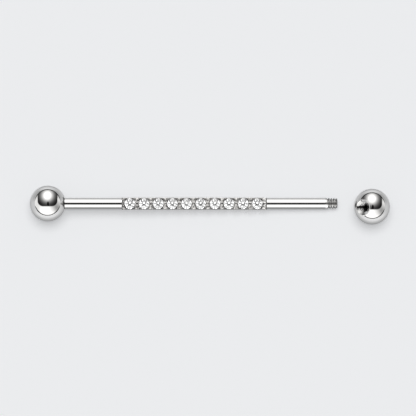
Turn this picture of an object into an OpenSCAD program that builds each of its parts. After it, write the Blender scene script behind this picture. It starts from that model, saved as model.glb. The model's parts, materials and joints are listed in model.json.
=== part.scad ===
// Industrial barbell: a straight bar with a row of prong-set stones, a ball screwed on
// one end, and the other ball taken off and lying beside the threaded tip.
// Millimetres. The bar runs along X, the surface that it lies on is z = 0, and the
// origin is the middle of the whole group on that surface.

/* [Bar] */
// Diameter of the plain bar
bar_d = 1.6; // [1.4:0.05:2]
// Bar that shows between the fixed ball and the setting
left_plain_l = 8; // [3:0.5:16]
// Bar between the setting and the thread
right_plain_l = 8.28; // [3:0.02:16]

/* [Thread] */
// Pitch of the thread
thread_pitch = 0.35; // [0.25:0.05:0.4]
// Length of the threaded tip
thread_l = 1.58; // [1.2:0.02:2.2]
// How much the thread narrows towards the tip, on its radius
thread_taper = 0.01; // [0.005:0.005:0.03]
// Edge break at the end of the tip
tip_chamfer = 0.16; // [0.05:0.01:0.3]

/* [Balls] */
// Diameter of each ball
ball_d = 5; // [4:0.25:8]
// Diameter of the countersunk mouth of each ball's hole
mouth_d = 2.1; // [2.05:0.05:2.6]
// Full angle of the countersink
mouth_angle = 118; // [82:2:130]
// Depth of the hole below the mouth
hole_depth = 2.6; // [2.5:0.1:3.2]
// Gap between pieces that sit against each other
seat_gap = 0.025; // [0.01:0.005:0.05]

/* [Stones] */
// Number of stones in the row
stone_count = 10; // [2:1:16]
// Diameter of each stone
stone_d = 1.48; // [1.2:0.02:1.7]
// Distance between the stones' girdles
stone_space = 0.49; // [0.4:0.01:0.6]
// Height of the girdle above the bar's axis
girdle_z = 0.5; // [0.4:0.02:0.6]
// Thickness of the girdle
girdle_t = 0.04; // [0.02:0.01:0.08]
// Crown height as a share of the stone's diameter
crown_share = 0.15; // [0.12:0.01:0.18]
// Pavilion depth as a share of the stone's diameter
pavilion_share = 0.43; // [0.4:0.01:0.45]
// Table width as a share of the stone's diameter
table_share = 0.57; // [0.52:0.01:0.64]
// Where the lower facets end, as a share of the stone's radius
lower_share = 0.28; // [0.2:0.02:0.4]

/* [Setting] */
// Metal beside each stone, on each side of the row
rail_edge = 0.08; // [0.06:0.01:0.2]
// Radius of the rounded back as a share of the rail's half-width
back_share = 1.22; // [1.2:0.02:1.6]
// Height of the rail between the prongs, above the bar's axis
rail_z = 0.4; // [0.3:0.02:0.45]
// Length of metal before the first stone's girdle
left_margin = 0.38; // [0.38:0.02:0.8]
// Length of metal past the last stone's girdle
right_margin = 0.58; // [0.38:0.02:0.8]
// Thickness of the wall at each end of the row
end_wall_t = 0.2; // [0.12:0.02:0.3]
// Height of the end walls above the bar's axis
end_wall_z = 0.84; // [0.7:0.02:1]
// Diameter of a prong
prong_d = 0.8; // [0.7:0.02:0.84]
// How far a prong stands proud of the rail's side
prong_proud = 0.02; // [0.01:0.01:0.05]
// Height of the prong tips above the bar's axis
prong_z = 0.9; // [0.84:0.02:1.1]
// Radius of the rounded prong heads
prong_crown_r = 0.52; // [0.46:0.02:0.8]
// Radius of the side scallop under each stone
scallop_r = 0.52; // [0.4:0.02:0.6]
// Depth of that scallop below the girdle
scallop_drop = 0.36; // [0.2:0.02:0.44]

/* [Lie] */
// Roll of the stones towards the front, about the bar's axis
roll = 12; // [0:1:30]
// Clear distance along X from the tip to the loose ball
loose_gap = 2.27; // [1:0.01:12]
// Sideways place of the loose ball, towards the back when positive
loose_side = -0.8; // [-6:0.05:6]
// Lean of the loose ball's hole from straight up
hole_lean = 38; // [0:1:80]
// Direction that the loose ball's hole leans to, turned from +X
hole_turn = 198; // [0:1:359]

/* [Hidden] */
$fn = 64;
bar_r = bar_d / 2;
ball_r = ball_d / 2;
mouth_r = mouth_d / 2;
stone_r = stone_d / 2;
rail_r = stone_r + rail_edge;
back_r = back_share * rail_r;
prong_r = prong_d / 2;
overrun = 0.3;

// Places along the bar's axis, counted from the fixed ball's centre
mouth_u = sqrt(ball_r * ball_r - mouth_r * mouth_r);
mouth_slope = tan(mouth_angle / 2);
shoulder_u = mouth_u - (mouth_r - bar_r) / mouth_slope + seat_gap;
hole_end_u = mouth_u - hole_depth;
post_u = hole_end_u + 4 * seat_gap;
setting_u = mouth_u + left_plain_l;
stone_pitch = stone_d + stone_space;
first_stone_u = setting_u + left_margin + stone_r;
setting_l = left_margin + (stone_count - 1) * stone_pitch + stone_d + right_margin;
thread_u = setting_u + setting_l + right_plain_l;
tip_u = thread_u + thread_l;

// The thread: 60 degree flanks, so its depths and its grooves' widths follow its pitch
thread_depth = 0.61 * thread_pitch;
groove_mouth = 0.85 * thread_pitch;
groove_floor = 0.2 * thread_pitch;
tapped_depth = 0.43 * thread_pitch;
tapped_mouth = 0.62 * thread_pitch;
tapped_floor = 0.08 * thread_pitch;
crest_r = bar_r - thread_taper;
hole_r = bar_r - tapped_depth;
post_r = hole_r - seat_gap;
groove_past = 0.1;
thread_steps = 30;

// The bar slopes down from the fixed ball's centre until its tip meets the surface
crest_u = tip_u - tip_chamfer;
slope = asin(ball_r / sqrt(crest_u * crest_u + crest_r * crest_r)) - atan(crest_r / crest_u);
tip_x = tip_u * cos(slope);
loose_x = tip_x + loose_gap + ball_r;
mid_x = loose_x / 2;
mid_y = loose_side / 2;

// The stones' facets: heights count from the girdle, the star and lower points lie between mains
eighth = 45;
half = eighth / 2;
crown_z = girdle_z + girdle_t;
crown_h = stone_d * crown_share;
pavilion_h = stone_d * pavilion_share;
table_r = stone_r * table_share;
star_r = (table_r * cos(half) + stone_r) / 2;
star_h = crown_h * (stone_r - star_r * cos(half)) / (stone_r - table_r);
lower_r = stone_r * lower_share;
lower_h = pavilion_h * (1 - lower_share * cos(half));

function polar(r, turn, z) = [r * cos(turn), r * sin(turn), z];
function two_digits(n) = n < 10 ? str("0", n) : str(n);
function stone_name(i) = str("stone_", two_digits(i + 1));

// Places its children in the lying bar's frame: X along the bar, from the fixed ball's centre
module on_bar() {
    translate([-mid_x, -mid_y, ball_r])
        rotate([0, slope, 0])
            children();
}

// A round bar along X between two places
module rod(from, to, r) {
    translate([from, 0, 0])
        rotate([0, 90, 0])
            cylinder(h = to - from, r = r);
}

// One ring of a helical groove: its outline at one turn, from just past the surface to its floor
function groove_ring(turn, along, skin_r, floor_r, mouth_w, floor_w) =
    let (side = skin_r > floor_r ? 1 : -1)
    let (skin = (mouth_w + (mouth_w - floor_w) * groove_past) / 2)
    let (floor = floor_w / 2)
    let (outline = [[skin_r, -skin], [floor_r, -floor], [floor_r, floor], [skin_r, skin]])
    [for (p = outline) polar(p[0], turn, along + side * p[1])];

// A helical groove round Z. It is cut from surface_r to floor_r and fades in over half a turn.
module helix_groove(from, to, surface_r, floor_r, mouth_w, floor_w) {
    count = ceil((to - from) / thread_pitch * thread_steps);
    depth = floor_r - surface_r;
    rings = [
        for (i = [0 : count])
            let (along = from + (to - from) * i / count)
            let (turn = 360 * (along - from) / thread_pitch)
            let (share = min(1, 0.1 + i / (thread_steps / 2)))
            let (skin_r = surface_r - depth * groove_past)
            groove_ring(turn, along, skin_r, surface_r + depth * share, mouth_w, floor_w)
    ];
    sides = [
        for (i = [0 : count - 1], k = [0 : 3])
            let (a = 4 * i + k, b = 4 * i + (k + 1) % 4)
            each [[a, a + 4, b], [b, a + 4, b + 4]]
    ];
    last = 4 * count;
    ends = [[0, 1, 2], [0, 2, 3], [last, last + 2, last + 1], [last, last + 3, last + 2]];
    polyhedron(points = [for (ring = rings) each ring], faces = concat(sides, ends), convexity = 10);
}

// The bar past the setting, with its thread and a broken edge at the tip
module threaded_end() {
    difference() {
        union() {
            rod(setting_u + setting_l - end_wall_t / 2, thread_u, bar_r);
            translate([thread_u, 0, 0])
                rotate([0, 90, 0])
                    cylinder(h = crest_u - thread_u, r1 = bar_r, r2 = crest_r);
            translate([crest_u, 0, 0])
                rotate([0, 90, 0])
                    cylinder(h = tip_chamfer, r1 = crest_r, r2 = crest_r - tip_chamfer);
        }
        rotate([0, 90, 0])
            helix_groove(
                thread_u + groove_mouth / 2,
                tip_u + thread_pitch,
                bar_r,
                bar_r - thread_depth,
                groove_mouth,
                groove_floor
            );
    }
}

// Metal with a rounded back and straight sides along X, up to a height
module channel(from, to, top) {
    translate([from, 0, 0])
        rotate([90, 0, 90])
            linear_extrude(to - from)
                union() {
                    intersection() {
                        translate([0, back_r - rail_r])
                            circle(r = back_r);
                        translate([-rail_r, -rail_r])
                            square([2 * rail_r, rail_r]);
                    }
                    translate([-rail_r, 0])
                        square([2 * rail_r, top]);
                }
}

// One prong: a round post with a domed head, from the bar's axis up
module prong() {
    intersection() {
        cylinder(h = prong_z, r = prong_r);
        translate([0, 0, prong_z - prong_crown_r])
            sphere(r = prong_crown_r);
    }
    cylinder(h = prong_z - prong_crown_r, r = prong_r);
}

// The two prongs between neighbouring stones, at each end of the row too
module prongs() {
    for (i = [0 : stone_count], side = [-1, 1])
        translate([first_stone_u + (i - 0.5) * stone_pitch, side * (rail_r + prong_proud - prong_r), 0])
            prong();
}

// The room that a stone takes, with a gap all round, open above its table
module stone_room(gap) {
    rotate_extrude()
        polygon([
            [0, girdle_z - pavilion_h - gap],
            [lower_r + gap, girdle_z - lower_h - gap],
            [stone_r + gap, girdle_z - gap],
            [stone_r + gap, crown_z + gap],
            [star_r + gap, crown_z + star_h + gap],
            [table_r + gap, crown_z + crown_h + gap],
            [table_r + gap, prong_z + gap],
            [0, prong_z + gap]
        ]);
}

// Where stone number i stands along the bar
function stone_u(i) = first_stone_u + i * stone_pitch;

// The row's metal: a rail, two end walls and the prongs, less the stones' room
module setting() {
    setting_end = setting_u + setting_l;
    difference() {
        union() {
            channel(setting_u, setting_end, rail_z);
            channel(setting_u, setting_u + end_wall_t, end_wall_z);
            channel(setting_end - end_wall_t, setting_end, end_wall_z);
            intersection() {
                prongs();
                translate([setting_u + end_wall_t / 4, -2 * rail_r, -rail_r])
                    cube([setting_l - end_wall_t / 2, 4 * rail_r, 2 * rail_r + prong_z]);
            }
        }
        for (i = [0 : stone_count - 1])
            translate([stone_u(i), 0, 0]) {
                stone_room(seat_gap);
                translate([0, 0, girdle_z - scallop_drop + scallop_r])
                    rotate([90, 0, 0])
                        cylinder(h = 4 * rail_r, r = scallop_r, center = true);
            }
    }
}

// The bar in one piece: the hidden post, both plain stretches, the setting and the thread
module bar() {
    color("silver")
        on_bar() {
            rod(post_u, shoulder_u + overrun, post_r);
            rod(shoulder_u, setting_u + end_wall_t / 2, bar_r);
            rotate([roll, 0, 0])
                setting();
            threaded_end();
        }
}

// A ball with a countersunk hole along Z
module drilled_ball() {
    difference() {
        sphere(r = ball_r);
        translate([0, 0, hole_end_u])
            cylinder(h = hole_depth + overrun, r = hole_r);
        translate([0, 0, mouth_u])
            cylinder(
                h = 2 * (mouth_r - hole_r) / mouth_slope,
                r1 = hole_r,
                r2 = 2 * mouth_r - hole_r,
                center = true
            );
    }
}

// The ball that stays on the bar
module fixed_ball() {
    color("gainsboro")
        on_bar()
            rotate([0, 90, 0])
                drilled_ball();
}

// The ball that is taken off, with its tapped hole leaning up
module loose_ball() {
    color("gainsboro")
        translate([loose_x - mid_x, loose_side - mid_y, ball_r])
            rotate([0, hole_lean, hole_turn])
                difference() {
                    drilled_ball();
                    helix_groove(
                        hole_end_u + thread_pitch,
                        ball_r,
                        hole_r,
                        bar_r + seat_gap,
                        tapped_mouth,
                        tapped_floor
                    );
                }
}

// A round brilliant: eight stars, kites and main facets, and sixteen facets either side of the girdle
module brilliant() {
    points = concat(
        [for (k = [0 : 7]) polar(table_r, eighth * k, crown_z + crown_h)],
        [for (k = [0 : 7]) polar(star_r, eighth * k + half, crown_z + star_h)],
        [for (k = [0 : 15]) polar(stone_r, half * k, crown_z)],
        [for (k = [0 : 15]) polar(stone_r, half * k, girdle_z)],
        [for (k = [0 : 7]) polar(lower_r, eighth * k + half, girdle_z - lower_h)],
        [[0, 0, girdle_z - pavilion_h]]
    );
    table = 0;
    star = 8;
    upper = 16;
    under = 32;
    lower = 48;
    culet = 56;
    crown_faces = [
        for (k = [0 : 7])
            let (n = (k + 1) % 8, before = (k + 7) % 8)
            let (g = 2 * k, side = g + 1, next = (g + 2) % 16)
            each [
                [table + k, table + n, star + k],
                [table + k, star + k, upper + g, star + before],
                [star + k, upper + side, upper + g],
                [star + k, upper + next, upper + side]
            ]
    ];
    girdle_faces = [
        for (k = [0 : 15])
            let (n = (k + 1) % 16)
            [upper + k, upper + n, under + n, under + k]
    ];
    pavilion_faces = [
        for (k = [0 : 7])
            let (before = (k + 7) % 8)
            let (g = 2 * k, side = g + 1, next = (g + 2) % 16)
            each [
                [lower + k, under + g, under + side],
                [lower + k, under + side, under + next],
                [culet, lower + before, under + g, lower + k]
            ]
    ];
    polyhedron(
        points = points,
        faces = concat([[for (k = [7 : -1 : 0]) table + k]], crown_faces, girdle_faces, pavilion_faces),
        convexity = 2
    );
}

// Stone number i in its seat
module stone(i) {
    color("aliceblue", 0.6)
        on_bar()
            rotate([roll, 0, 0])
                translate([stone_u(i), 0, 0])
                    brilliant();
}

bar();
fixed_ball();
loose_ball();
for (i = [0 : stone_count - 1])
    stone(i);
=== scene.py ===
"""Looks of an industrial barbell that lies on a pale floor, with its second ball taken off beside it."""

import json
import math

import bpy
from mathutils import Matrix, Vector


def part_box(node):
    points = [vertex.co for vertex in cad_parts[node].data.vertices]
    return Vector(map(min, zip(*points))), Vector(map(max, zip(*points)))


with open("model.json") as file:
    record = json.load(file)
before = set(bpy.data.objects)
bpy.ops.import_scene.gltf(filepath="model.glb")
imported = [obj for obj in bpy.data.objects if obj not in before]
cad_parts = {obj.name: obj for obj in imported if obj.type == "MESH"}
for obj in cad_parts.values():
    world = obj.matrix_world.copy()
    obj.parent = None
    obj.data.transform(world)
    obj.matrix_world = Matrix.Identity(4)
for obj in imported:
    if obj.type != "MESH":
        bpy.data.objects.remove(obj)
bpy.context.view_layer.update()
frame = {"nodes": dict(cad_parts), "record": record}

# Values, in metres and degrees. Four numbers together are a fade: where it starts and ends, and what
# it gives there. Two are where a fade starts and ends, apart from places and sizes. A grain has its
# size and its detail
MM = 0.001
WHITE = (1, 1, 1, 1)

# The camera looks almost straight down, from the front
CAMERA_TILT = 10.5
CAMERA_DISTANCE = 0.6
CAMERA_NEAR = 0.01
SENSOR_MM = 36
VIEW_WIDTH = 0.0578
IMAGE_PX = 416
BALL_PX = (47.8, 203.6)

# The floor and the soft lamps over it: each one's width, its lean to the back, its light
FLOOR_WIDTH = 4.0
FLOOR_DEPTH = 0.086
FLOOR_DROP = 0.00001
FLOOR_COLOR = (0.82, 0.83, 0.845, 1)
FLOOR_GLOW = 0.595
FLOOR_LAMPS = {"overhead": (38, 8, 0.34), "around": (110, 0, 0.08)}
BACKDROP_COLOR = (0.83, 0.84, 0.855, 1)

# The studio, in the picture that a mirror ball shows of it: u right, v up, the rim at 1
CEILING_HALF_WIDTH = 0.54
CEILING_FRONT_EDGE = -0.145
CEILING_CORNER = 0.3
CEILING_EDGE = (CEILING_CORNER - 0.01, CEILING_CORNER + 0.03)
CEILING_LIGHT = (-0.04, CEILING_FRONT_EDGE, 0.008, 0.07)
LAMP_PLACE = (-0.01, 0.455)
LAMP_SPREAD = 0.185
LAMP_LENGTHENED = 0.97
LAMP_LIGHT = 2.75
HALO_SPREAD = 0.25
HALO_LIGHT = 0.03
# The walls have a lighter card in front, a shade at the right and a darker back
SIDE_LIGHT = 1.22
CARD_LIGHT = 1.75
CARD_HEIGHT = (0.0, -0.3)
CARD_SIDES = (0.55, 0.3)
SHADE_PLACE = (0.5, -0.2)
SHADE = (0, 0.5, 0.38, 1)
BACK_WALL = (0.2, 0.5, 1, 0.5)
# The camera's own dark shape, taller than wide, with a soft edge
LENS_PLACE = (0.03, -0.01)
LENS_SIZE = (0.055, 0.125)
LENS_EDGE = (0.8, 1.2, 0.02, 1)
# The dark gap past the floor's edges, by its way to the back (1) or the front (-1): how high its
# top is, and how light it is
GAP_TOP_BACK = (0.1, 0.5, -0.01, 0.04)
GAP_TOP_FRONT = (-0.1, -0.35, -0.01, 0.07)
GAP_LOWERED = (-0.6, -1, 1, 0.6)
GAP_LIGHT_BACK = (0.8, 1, 0, 0.12)
GAP_LIGHT_FRONT = (-0.6, -1, 0.01, 0.16)
GAP_SOFT = (-0.008, 0.008)
# The stones gather light from the whole room, and so show less of its dark parts
STONE_GAIN = 2.4
STONE_LIFT = 0.5

# Fixed directions of the part that the painted shades follow, whatever looks at it. They lean to the
# front: the middle of the balls' rings, and the way to the back
RING_LEAN = 5.25
SHADE_LEAN = 10.5

# All the steel
STEEL_TONE = (0.645, 0.64, 0.63)
STEEL_EDGE = (0.7, 0.7, 0.7, 1)
FINE_GRAIN = (0.00005, 2)

# The balls. A ring round each is a painted reflection of the floor: lighter for its far parts, with
# painted shade at the foot. How much of it shows, from the front to the back, is the sum of three fades
FAR_FLOOR_REFLECTION = (-0.05, -0.12)
NEAR_FLOOR_REFLECTION = (-1.0, -0.1, -0.3, 0.5)
RING_SHARES = ((-0.2, -0.7, 0.12, 1), (0, 0.4, 0, -0.75), (0.65, 0.9, 0, 1.5))
BALL_MARKS = (0.0004, 4)
BALL_ROUGH = (0.35, 0.75, 0.02, 0.06)
BALL_RELIEF = 0.0000002

# Their holes have painted shade, darker inwards and sooner on the front wall, and a painted reflection:
# a dark band across the middle, with the wall below it lighter
HOLE_RADIUS = 0.00105
HOLE_MOUTH = 0.00227
HOLE_SOFT = 0.0001
HOLE_FLOOR = (-0.0009, -0.0007)
HOLE_SIDE = (0, 0.001)
HOLE_SHADE = (0.00122, 0.00077)
HOLE_SLANT = 0.8
HOLE_SHADE_DARK = 0.02
HOLE_ROUGH = 0.2
FIXED_MOUTH_LIGHT = 0.15
LOOSE_MOUTH_LIGHT = 0.8
BAND_MIDDLE = -0.00005
DARK_BAND_REFLECTION = (0.00009, 0.00021, 0.12, 1)
BELOW_BAND = (0, -0.00015, 1, 1.3)
LIP_RADIUS = 0.00111
LIP_WIDTH = 0.00013
LIP_ROUGH = 0.45
# The far side of the lip has a painted reflection of something dark
FAR_LIP_INNER = (0.00105, 0.00115)
FAR_LIP_OUTER = (0.0016, 0.0014)
FAR_LIP_FACING = (0.5, 0.42)
FAR_LIP_FRONT = (-0.0001, 0.0002)
FAR_LIP_BACK = (0.001, 0.0007)
FAR_LIP_LIGHT = 0.12
# A painted shadow of the fixed ball's mouth round the bar, drawn out to a point along the axis
MOUTH_SHADOW_ON_BALL = (0.002, 0.00206)
MOUTH_SHADOW_SLANT = 0.35
MOUTH_SHADOW_DARK = 0.3
MOUTH_SHADOW_ON_BAR = (0.00233, 0.00238, MOUTH_SHADOW_DARK, 1)

# The plain bar: painted shade below at the front, with draw marks and a painted dark reflection line
# along it
BAR_FRONT = (0, -0.4)
BAR_UNDER_SHADE = (0.85, 0.25, 1, 0.42)
BAR_LINE_PLACE = -0.00005
BAR_REFLECTION_LINE = (0.00005, 0.00012, 0.5, 1)
BAR_ROUGH = (0.35, 0.75, 0.01, 0.03)
BAR_RELIEF = 0.00008
DRAW_MARKS = (0.00006, 3, (0.08, 1, 1))
DRAW_HEIGHT = 0.005

# The thread's painted light and shade: from its crests to its grooves, and from the front to the back,
# and a painted dark reflection line along it
THREAD_SOFT = 0.0002
THREAD_DEPTH = (0.00079, 0.00062, 0.75, 0.48)
THREAD_SIDES = (-0.1, 0.2, 2.0, 0.9)
THREAD_LINE_PLACE = -0.00016
THREAD_REFLECTION_LINE = (0.00005, 0.00012, 0.6, 1)
THREAD_ROUGH = 0.2

# The setting is cast and pitted, with painted shade in its low parts
SETTING_ROLL = 12
SETTING_SOFT = 0.00002
STONE_TO_WALL = 0.00112
CAST_TONE = (0.79, 0.775, 0.755)
CAST_LOW = (0.0007, 0.0003)
CAST_SHADE = (0, 1, 0.75, 0.42)
CAST_GRAIN = (0.00022, 4)
CAST_PITS = (0.4, 0.6, 0.38, 1.32)
CAST_ROUGH = (0.3, 0.7, 0.24, 0.42)
FINE_HEIGHT = 0.2
# The notches, on both sides of each stone, have painted shade
NOTCH_PLACE = 0.0005
NOTCH_LENGTH = (0.00008, 0.0002, 1, 0)
NOTCH_INNER = (0.0004, 0.0005)
NOTCH_OUTER = (0.00066, 0.00058)
NOTCH_LIGHT = 0.25
# The rail has a painted highlight behind each stone. Its rim has painted light at the back and painted
# shade at the front
RAIL_ALONG = (0.0004, 0.00028)
RAIL_ACROSS = (0.00042, 0.00055)
RAIL_LIGHT = 3.2
RIM = (0.0007, 0.00076)
RIM_SIDES = (-0.0003, 0.0003, 0.42, 1.05)
RIM_ROUGH = 0.65
# A painted highlight on an edge and a painted shadow line close the row at its far end, and a painted
# shadow line at its near end
EDGE_START = (0.00034, 0.00028)
EDGE_END = (0.0001, 0.00016)
EDGE_LIGHT = 1.8
END_SHADOW = (0.00008, 0.00014, 0.3, 1)

# The stones' painted reflections: a light centre with a painted glow, a spotted grey ring round it with
# one dark spot at the front, a crown that is lighter at the back, and painted glints
STONE_IOR = 2.15
STONE_RING = 0.00026
STONE_RING_WIDTH = 0.00011
STONE_RING_BEHIND = 0.00015
STONE_RING_SIDES = (STONE_RING, -STONE_RING, 0.38, 0.24)
SPOT_GRAIN = (0.00028, 2)
SPOTS = (0.42, 0.58, 0.3, 1.4)
DARK_SPOT_REFLECTION = (0, 0.00026, 0.1, 1)
CENTRE_GLOW = (0.0002 / 3, 0.0002, 0.3, 0)
CROWN_SIDES = (-0.0006, 0.0006, 0.66, 1)
SPARKLE_GRAIN = (0.0004, 2)
SPARKLE = (0.4, 0.6, 0.6, 1)


class Nodes:
    """Builds a node tree one step a line."""

    def __init__(self, tree):
        self.tree = tree
        tree.nodes.clear()

    def add(self, kind, inputs=(), **settings):
        node = self.tree.nodes.new(kind)
        for name, value in settings.items():
            setattr(node, name, value)
        for name, value in dict(inputs).items():
            self.feed(node.inputs[name], value)
        return node

    def feed(self, socket, value):
        if isinstance(value, bpy.types.NodeSocket):
            self.tree.links.new(value, socket)
        else:
            socket.default_value = value

    def math(self, operation, *values):
        return self.add("ShaderNodeMath", enumerate(values), operation=operation).outputs[0]

    def vector(self, operation, *values, scale=None):
        node = self.add("ShaderNodeVectorMath", enumerate(values), operation=operation)
        if scale is not None:
            self.feed(node.inputs["Scale"], scale)
        gives_number = operation in ("DOT_PRODUCT", "LENGTH", "DISTANCE")
        return node.outputs["Value" if gives_number else "Vector"]

    def xyz(self, x, y):
        return self.add("ShaderNodeCombineXYZ", {"X": x, "Y": y}).outputs[0]

    def product(self, *values):
        result = values[0]
        for value in values[1:]:
            result = self.math("MULTIPLY", result, value)
        return result

    def off(self, value, middle):
        """How far a value is from a middle one, on either side."""
        return self.math("ABSOLUTE", self.math("SUBTRACT", value, middle))

    def fade(self, value, start, end, low=0.0, high=1.0):
        """low before start, high after end, smooth between them. Start may be the larger."""
        inputs = {"Value": value, "From Min": start, "From Max": end, "To Min": low, "To Max": high}
        return self.add("ShaderNodeMapRange", inputs, interpolation_type="SMOOTHSTEP").outputs[0]

    def mix(self, share, low, high):
        """low where share is 0, high where it is 1."""
        rise = self.math("SUBTRACT", high, low)
        return self.math("MULTIPLY_ADD", share, rise, low)


# Places and directions, taken from the frame

def box_centre(node):
    low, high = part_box(node)
    return (low + high) / 2


def along_bar(place):
    """Distance along the bar, counted from the fixed ball's centre."""
    return (place - fixed_centre).dot(bar_axis)


mounts = {mount["name"]: mount for mount in frame["record"]["mounts"]}
bar_axis = Vector(mounts["bar_end"]["axis"])
loose_hole = Vector(mounts["ball_hole"]["axis"])
loose_centre = box_centre("loose_ball")
ball_radius = loose_centre.z
# The fixed ball's box ends at its mouth, so its centre is counted from its far side
fixed_centre = box_centre("fixed_ball")
fixed_centre.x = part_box("fixed_ball")[0].x + ball_radius

stones = sorted(name for name in frame["nodes"] if name.startswith("stone_"))
wall_middle = along_bar(Vector(mounts["bar_end"]["pos_m"]))
wall_half = mounts["bar_end"]["dims"]["length_mm"] * MM / 2
setting_end = wall_middle - wall_half
thread_start = wall_middle + wall_half
first_stone = along_bar(box_centre(stones[0]))
stone_pitch = (along_bar(box_centre(stones[-1])) - first_stone) / (len(stones) - 1)
setting_start = first_stone - STONE_TO_WALL
setting_up = Matrix.Rotation(math.radians(SETTING_ROLL), 3, bar_axis) @ Vector((0, -1, 0)).cross(bar_axis)
setting_side = setting_up.cross(bar_axis)

ring_middle = Matrix.Rotation(math.radians(RING_LEAN), 3, "X") @ Vector((0, 0, 1))
to_back = Matrix.Rotation(math.radians(SHADE_LEAN), 3, "X") @ Vector((0, 1, 0))

# The camera is turned so that the sloping bar lies level in the picture
tilt = math.radians(CAMERA_TILT)
bar_slope = -math.asin(bar_axis.z)
yaw = -math.asin(math.tan(tilt) * math.tan(bar_slope))
picture_right = Vector((math.cos(yaw), math.sin(yaw), 0))
picture_up = Vector((-math.sin(yaw) * math.cos(tilt), math.cos(yaw) * math.cos(tilt), math.sin(tilt)))
to_camera = picture_right.cross(picture_up)


# Camera

def make_camera():
    """The photograph's view: the fixed ball's centre falls on its pixel."""
    px = VIEW_WIDTH / IMAGE_PX
    middle = IMAGE_PX / 2
    aim = (
        fixed_centre
        + picture_right * (middle - BALL_PX[0]) * px
        + picture_up * (BALL_PX[1] - middle) * px
    )
    data = bpy.data.cameras.new("camera")
    data.sensor_width = SENSOR_MM
    data.lens = SENSOR_MM * CAMERA_DISTANCE / VIEW_WIDTH
    data.clip_start = CAMERA_NEAR
    camera = bpy.data.objects.new("camera", data)
    turn = Matrix((picture_right, picture_up, to_camera)).transposed().to_4x4()
    camera.matrix_world = Matrix.Translation(aim + to_camera * CAMERA_DISTANCE) @ turn
    bpy.context.scene.collection.objects.link(camera)
    bpy.context.scene.camera = camera


# Studio

def make_studio():
    """Plain soft light from all round, with a dark ceiling and one soft lamp at the back of it."""
    world = bpy.data.worlds.new("studio")
    bpy.context.scene.world = world
    world.use_nodes = True
    n = Nodes(world.node_tree)

    direction = n.add("ShaderNodeTexCoord").outputs["Generated"]
    half_way = n.vector("NORMALIZE", n.vector("ADD", direction, to_camera))
    u = n.vector("DOT_PRODUCT", half_way, picture_right)
    v = n.vector("DOT_PRODUCT", half_way, picture_up)
    place = n.xyz(u, v)
    beside_middle = n.math("ABSOLUTE", u)

    # The dark ceiling with its rounded corners, and the walls past it
    aside = n.math("SUBTRACT", beside_middle, CEILING_HALF_WIDTH - CEILING_CORNER)
    ahead = n.math("SUBTRACT", CEILING_FRONT_EDGE + CEILING_CORNER, v)
    corner = n.xyz(n.math("MAXIMUM", aside, 0), n.math("MAXIMUM", ahead, 0))
    past_ceiling = n.fade(n.vector("LENGTH", corner), *CEILING_EDGE)
    card = n.product(n.fade(v, *CARD_HEIGHT), n.fade(beside_middle, *CARD_SIDES))
    shade = n.fade(n.vector("DISTANCE", place, (*SHADE_PLACE, 0)), *SHADE)
    walls = n.product(n.mix(card, SIDE_LIGHT, CARD_LIGHT), shade, n.fade(v, *BACK_WALL))
    light = n.mix(past_ceiling, n.fade(v, *CEILING_LIGHT), walls)

    # The lamp and its halo
    from_lamp = n.vector("SUBTRACT", place, (*LAMP_PLACE, 0))
    spread = n.vector("LENGTH", n.vector("MULTIPLY", from_lamp, (1, LAMP_LENGTHENED, 1)))
    for width, strength in ((LAMP_SPREAD, LAMP_LIGHT), (HALO_SPREAD, HALO_LIGHT)):
        fall = n.math("MULTIPLY", n.math("POWER", spread, 2), -0.5 / width**2)
        light = n.math("MULTIPLY_ADD", n.math("EXPONENT", fall), strength, light)

    # The gap past the floor's edges, and the camera's own shape
    height = n.vector("DOT_PRODUCT", direction, (0, 0, 1))
    level = n.vector("NORMALIZE", n.vector("MULTIPLY", direction, (1, 1, 0)))
    back = n.vector("DOT_PRODUCT", level, (0, 1, 0))
    top = n.math("MAXIMUM", n.fade(back, *GAP_TOP_BACK), n.fade(back, *GAP_TOP_FRONT))
    top = n.math("MULTIPLY", top, n.fade(back, *GAP_LOWERED))
    gap_light = n.math("ADD", n.fade(back, *GAP_LIGHT_BACK), n.fade(back, *GAP_LIGHT_FRONT))
    above_gap = n.mix(n.fade(n.math("SUBTRACT", height, top), *GAP_SOFT), gap_light, 1)
    from_lens = n.vector("SUBTRACT", place, (*LENS_PLACE, 0))
    from_lens = n.vector("LENGTH", n.vector("DIVIDE", from_lens, (*LENS_SIZE, 1)))
    light = n.product(light, above_gap, n.fade(from_lens, *LENS_EDGE))

    # The stones' light, and the plain backdrop that the camera sees
    rays = n.add("ShaderNodeLightPath").outputs
    for_stones = n.math("MULTIPLY_ADD", light, STONE_GAIN, STONE_LIFT)
    light = n.mix(rays["Is Transmission Ray"], light, for_stones)
    studio = n.add("ShaderNodeBackground", {"Color": WHITE, "Strength": light})
    backdrop = n.add("ShaderNodeBackground", {"Color": BACKDROP_COLOR, "Strength": 1})
    seen = rays["Is Camera Ray"]
    choice = n.add("ShaderNodeMixShader", {0: seen, 1: studio.outputs[0], 2: backdrop.outputs[0]})
    n.add("ShaderNodeOutputWorld", {"Surface": choice.outputs[0]})


def make_floor():
    """A pale sheet of paper, a hair below what lies on it."""
    x, y = FLOOR_WIDTH / 2, FLOOR_DEPTH / 2
    corners = [(-x, -y, 0), (x, -y, 0), (x, y, 0), (-x, y, 0)]
    mesh = bpy.data.meshes.new("floor")
    mesh.from_pydata(corners, [], [(0, 1, 2, 3)])
    floor = bpy.data.objects.new("floor", mesh)
    floor.location.z = -FLOOR_DROP
    bpy.context.scene.collection.objects.link(floor)
    paper = bpy.data.materials.new("floor_paper")
    paper.use_nodes = True
    n = Nodes(paper.node_tree)
    looks = {
        "Base Color": FLOOR_COLOR,
        "Roughness": 1,
        "Specular IOR Level": 0,
        "Emission Color": FLOOR_COLOR,
        "Emission Strength": FLOOR_GLOW,
    }
    shader = n.add("ShaderNodeBsdfPrincipled", looks)
    n.add("ShaderNodeOutputMaterial", {"Surface": shader.outputs[0]})
    mesh.materials.append(paper)


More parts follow.
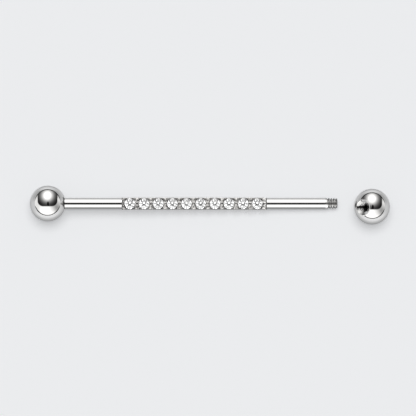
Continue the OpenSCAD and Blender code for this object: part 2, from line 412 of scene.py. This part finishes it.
def make_lamps():
    """Soft lamps that light the floor. The metal and the stones mirror the studio instead."""
    bpy.context.scene.world.cycles_visibility.diffuse = False
    for name, (width, lean, light) in FLOOR_LAMPS.items():
        data = bpy.data.lights.new(name, "SUN")
        data.angle = math.radians(width)
        data.energy = light * math.pi
        lamp = bpy.data.objects.new(name, data)
        lamp.rotation_euler.x = -math.radians(lean)
        lamp.visible_glossy = False
        lamp.visible_transmission = False
        bpy.context.scene.collection.objects.link(lamp)


# Materials

class Surface(Nodes):
    """A material that varies over the piece. Places are in metres."""

    def __init__(self, name):
        self.material = bpy.data.materials.new(name)
        self.material.use_nodes = True
        super().__init__(self.material.node_tree)
        self.place = self.add("ShaderNodeTexCoord").outputs["Object"]
        self.normal = self.add("ShaderNodeNewGeometry").outputs["Normal"]

    def along(self, origin, axis):
        """Distance from an origin, counted along an axis."""
        return self.vector("DOT_PRODUCT", self.vector("SUBTRACT", self.place, origin), axis)

    def out(self, origin, axis):
        """Distance from the axis through an origin."""
        foot = self.vector("SCALE", axis, scale=self.along(origin, axis))
        return self.vector("DISTANCE", self.vector("SUBTRACT", self.place, origin), foot)

    def turned(self, direction):
        """1 where the surface looks along a direction, -1 where it looks the other way."""
        return self.vector("DOT_PRODUCT", self.normal, direction)

    def place_in_row(self):
        """Distance along the bar, from the nearest stone's axis and, signed, across the row."""
        from_first = self.math("SUBTRACT", self.along(fixed_centre, bar_axis), first_stone)
        steps = self.math("DIVIDE", from_first, stone_pitch)
        from_stone = self.math("MULTIPLY", self.off(steps, self.math("ROUND", steps)), stone_pitch)
        return from_stone, self.along(fixed_centre, setting_side)

    def noise(self, size, detail, stretch=(1, 1, 1)):
        """A soft random pattern from 0 to 1 with grains of that size."""
        where = self.vector("MULTIPLY", self.place, stretch)
        inputs = {"Vector": where, "Scale": 1 / size, "Detail": detail}
        return self.add("ShaderNodeTexNoise", inputs).outputs[0]

    def end(self, looks):
        """The finished material, from its looks by the names of the shader's sockets."""
        shader = self.add("ShaderNodeBsdfPrincipled", looks)
        self.add("ShaderNodeOutputMaterial", {"Surface": shader.outputs[0]})
        return self.material


def steel_shader(metal, bright, tone, rough, relief, depth):
    """Ends a steel: bright, the painted light and shade with any pitting, scales tone, the metal's
    colour, and relief is a bump of that depth.
    """
    bump = metal.add("ShaderNodeBump", {"Height": relief, "Distance": depth, "Strength": 1})
    looks = {
        "Base Color": metal.vector("SCALE", tone, scale=bright),
        "Metallic": 1,
        "Roughness": rough,
        "Specular Tint": STEEL_EDGE,
        "Normal": bump.outputs[0],
    }
    return metal.end(looks)


def ball_steel(name, centre, hole, mouth_light, mouth_shadow_light):
    """Mirror polish with faint polishing marks, and a hole with a worn lip. Painted reflections and
    painted shade are in its colour.
    """
    metal = Surface(name)
    depth = metal.along(centre, hole)
    out = metal.out(centre, hole)
    behind = metal.along(centre, to_back)
    facing = metal.turned(ring_middle)
    turned_back = metal.turned(to_back)
    hole_side = metal.fade(depth, *HOLE_SIDE)
    in_hole = metal.product(
        metal.fade(out, HOLE_RADIUS + HOLE_SOFT, HOLE_RADIUS),
        metal.fade(depth, HOLE_MOUTH, HOLE_MOUTH - HOLE_SOFT),
        metal.fade(depth, *HOLE_FLOOR),
    )

    # The outside, with its painted floor reflection. The ring starts where the surface leans 45 degrees
    # from its middle
    rise = metal.math("MULTIPLY_ADD", metal.math("POWER", facing, 2), 2, -1)
    share = 0
    for ring_share in RING_SHARES:
        share = metal.math("ADD", share, metal.fade(turned_back, *ring_share))
    ring = metal.product(metal.fade(rise, *FAR_FLOOR_REFLECTION), metal.fade(rise, *NEAR_FLOOR_REFLECTION), share)
    # Painted shadow of the fixed ball's mouth round the bar
    to_mouth = metal.math("MULTIPLY_ADD", metal.math("ABSOLUTE", behind), -MOUTH_SHADOW_SLANT, depth)
    # Painted dark reflection on the far side of the hole's lip
    far_lip_reflection = metal.product(
        metal.fade(out, *FAR_LIP_INNER),
        metal.fade(out, *FAR_LIP_OUTER),
        hole_side,
        metal.fade(facing, *FAR_LIP_FACING),
        metal.fade(behind, *FAR_LIP_FRONT),
        metal.fade(behind, *FAR_LIP_BACK),
    )
    outside = metal.product(
        metal.math("ADD", ring, 1),
        metal.fade(to_mouth, *MOUTH_SHADOW_ON_BALL, 1, mouth_shadow_light),
        metal.mix(far_lip_reflection, 1, FAR_LIP_LIGHT),
    )

    # The hole, with its painted shade and painted dark band
    inward = metal.math("MULTIPLY_ADD", metal.math("MINIMUM", behind, 0), HOLE_SLANT, depth)
    inside = metal.product(
        metal.fade(inward, *HOLE_SHADE, mouth_light, HOLE_SHADE_DARK),
        metal.fade(behind, *BELOW_BAND),
        metal.fade(metal.off(behind, BAND_MIDDLE), *DARK_BAND_REFLECTION),
    )

    lip = metal.product(metal.fade(metal.off(out, LIP_RADIUS), LIP_WIDTH / 2, LIP_WIDTH / 3), hole_side)
    rough = metal.fade(metal.noise(*BALL_MARKS), *BALL_ROUGH)
    rough = metal.math("MULTIPLY_ADD", in_hole, HOLE_ROUGH, rough)
    rough = metal.math("MULTIPLY_ADD", lip, LIP_ROUGH, rough)
    bright = metal.mix(in_hole, outside, inside)
    return steel_shader(metal, bright, STEEL_TONE, rough, metal.noise(*FINE_GRAIN), BALL_RELIEF)


def bar_steel(name):
    """Polished bar, cut thread and cast setting, each with its own grain and its own painted light and
    shade.
    """
    metal = Surface(name)
    along = metal.along(fixed_centre, bar_axis)
    from_stone, behind = metal.place_in_row()
    across = metal.math("ABSOLUTE", behind)
    turned_back = metal.turned(to_back)
    grain = metal.noise(*CAST_GRAIN)
    draw = metal.noise(*DRAW_MARKS)
    in_thread = metal.fade(along, thread_start - THREAD_SOFT, thread_start)
    in_setting = metal.product(
        metal.fade(along, setting_start - SETTING_SOFT, setting_start + SETTING_SOFT),
        metal.fade(along, setting_end + SETTING_SOFT, setting_end - SETTING_SOFT),
    )

    # The plain bar and its thread, with painted shade below, in the grooves and at the mouth, and painted
    # reflection lines
    painted_under_shade = metal.fade(metal.turned((0, 0, 1)), *BAR_UNDER_SHADE)
    thread_shade = metal.product(
        metal.fade(metal.out(fixed_centre, bar_axis), *THREAD_DEPTH),
        metal.fade(turned_back, *THREAD_SIDES),
    )
    bar_line_reflection = metal.fade(metal.off(behind, BAR_LINE_PLACE), *BAR_REFLECTION_LINE)
    thread_line_reflection = metal.fade(metal.off(behind, THREAD_LINE_PLACE), *THREAD_REFLECTION_LINE)
    plain = metal.product(
        metal.mix(metal.fade(turned_back, *BAR_FRONT), 1, painted_under_shade),
        metal.mix(in_thread, 1, thread_shade),
        metal.fade(along, *MOUTH_SHADOW_ON_BAR),
        metal.mix(in_thread, bar_line_reflection, thread_line_reflection),
    )

    # The setting: painted shade in its low parts and notches, painted highlights on the rail and the far
    # end, painted light and shade on the rim, and painted shadow lines at both ends
    low = metal.fade(metal.along(fixed_centre, setting_up), *CAST_LOW)
    notch_shade = metal.product(
        metal.fade(metal.off(from_stone, NOTCH_PLACE), *NOTCH_LENGTH),
        metal.fade(across, *NOTCH_INNER),
        metal.fade(across, *NOTCH_OUTER),
    )
    rail = metal.product(metal.fade(from_stone, *RAIL_ALONG), metal.fade(behind, *RAIL_ACROSS))
    cast = metal.product(
        metal.fade(low, *CAST_SHADE),
        metal.fade(grain, *CAST_PITS),
        metal.mix(notch_shade, 1, NOTCH_LIGHT),
        metal.mix(rail, 1, RAIL_LIGHT),
    )
    rim = metal.fade(across, *RIM)
    to_far_end = metal.math("SUBTRACT", setting_end, along)
    to_near_end = metal.math("SUBTRACT", along, setting_start)
    edge = metal.product(metal.fade(to_far_end, *EDGE_START), metal.fade(to_far_end, *EDGE_END))
    cast = metal.product(
        metal.mix(rim, cast, metal.fade(behind, *RIM_SIDES)),
        metal.mix(edge, 1, EDGE_LIGHT),
        metal.fade(metal.math("MINIMUM", to_far_end, to_near_end), *END_SHADOW),
    )

    # All three together
    bright = metal.mix(in_setting, plain, cast)
    polished = metal.mix(in_thread, metal.fade(draw, *BAR_ROUGH), THREAD_ROUGH)
    worn = metal.mix(rim, metal.fade(grain, *CAST_ROUGH), RIM_ROUGH)
    rough = metal.mix(in_setting, polished, worn)
    pits = metal.math("MULTIPLY_ADD", metal.noise(*FINE_GRAIN), FINE_HEIGHT, grain)
    relief = metal.mix(in_setting, metal.math("MULTIPLY", draw, DRAW_HEIGHT), pits)
    cast_tint = Vector(CAST_TONE) - Vector(STEEL_TONE)
    tone = metal.vector("ADD", STEEL_TONE, metal.vector("SCALE", cast_tint, scale=in_setting))
    return steel_shader(metal, bright, tone, rough, relief, BAR_RELIEF)


def crystal(name):
    """Clear cut stone. Its colour has a painted reflection of the table's edge as a grey ring in its
    pavilion, a painted dark spot and glints, and a painted glow at its centre.
    """
    stone = Surface(name)
    from_stone, across = stone.place_in_row()
    behind = stone.math("SUBTRACT", across, STONE_RING_BEHIND)
    radius = stone.vector("LENGTH", stone.xyz(from_stone, behind))
    from_ring = stone.off(radius, STONE_RING)
    ring = stone.fade(from_ring, STONE_RING_WIDTH / 4, STONE_RING_WIDTH, 1, 0)
    spots = stone.fade(stone.noise(*SPOT_GRAIN), *SPOTS)
    grey = stone.product(stone.fade(behind, *STONE_RING_SIDES), spots)
    past_ring = stone.fade(radius, STONE_RING, STONE_RING + STONE_RING_WIDTH)
    clear = stone.mix(past_ring, 1, stone.fade(across, *CROWN_SIDES))
    # Painted glints, at random
    sparkle = stone.fade(stone.noise(*SPARKLE_GRAIN), *SPARKLE)
    to_spot = stone.xyz(from_stone, stone.math("ADD", behind, STONE_RING))
    dark_spot_reflection = stone.fade(stone.vector("LENGTH", to_spot), *DARK_SPOT_REFLECTION)
    light = stone.product(stone.mix(ring, clear, grey), sparkle, dark_spot_reflection)
    # The emission is a painted glow at each stone's centre
    looks = {
        "Base Color": stone.vector("SCALE", (1, 1, 1), scale=light),
        "Roughness": 0,
        "IOR": STONE_IOR,
        "Transmission Weight": 1,
        "Emission Color": WHITE,
        "Emission Strength": stone.fade(radius, *CENTRE_GLOW),
    }
    return stone.end(looks)


def paint(node, material):
    """Gives a CAD node its material."""
    mesh = frame["nodes"][node].data
    mesh.materials.clear()
    mesh.materials.append(material)


make_camera()
make_studio()
make_floor()
make_lamps()

fixed_steel = ball_steel("fixed_ball_steel", fixed_centre, bar_axis, FIXED_MOUTH_LIGHT, MOUTH_SHADOW_DARK)
loose_steel = ball_steel("loose_ball_steel", loose_centre, loose_hole, LOOSE_MOUTH_LIGHT, 1)
clear_stone = crystal("clear_stone")
paint("bar", bar_steel("bar_steel"))
paint("fixed_ball", fixed_steel)
paint("loose_ball", loose_steel)
for name in stones:
    paint(name, clear_stone)

scene = bpy.context.scene
scene.view_settings.view_transform = "Standard"
scene.cycles.caustics_reflective = False
